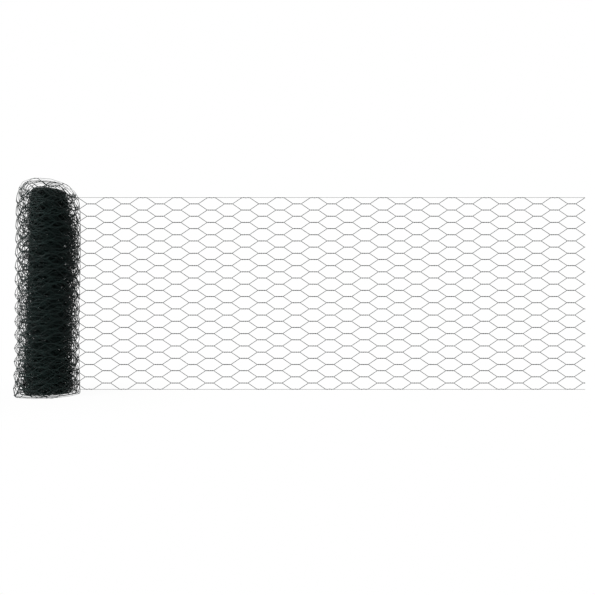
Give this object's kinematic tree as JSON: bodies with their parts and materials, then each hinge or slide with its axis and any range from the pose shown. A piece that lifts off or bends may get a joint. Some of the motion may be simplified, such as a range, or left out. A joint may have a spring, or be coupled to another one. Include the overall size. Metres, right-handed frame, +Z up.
{
  "type": "roll of chicken wire",
  "caption": "Roll of plastic-coated hexagonal wire netting standing on its end, with its free end drawn out flat and upright from the back of the roll.",
  "frame": {"origin": "on the roll's axis, at the end that it stands on", "axes": "+Z up the roll's axis, +X along the flat stretch towards its free end, +Y towards the side that the flat stretch leaves from"},
  "size_m": [1.4431, 0.1628, 0.5266],
  "materials": {
    "coated_wire": "smooth dark green PVC coat over galvanised steel wire"
  },
  "bodies": {
    "root": {"rolled_netting": "coated_wire", "flat_netting_by_roll": "coated_wire", "flat_netting_free_end": "coated_wire"}
  },
  "joints": []
}
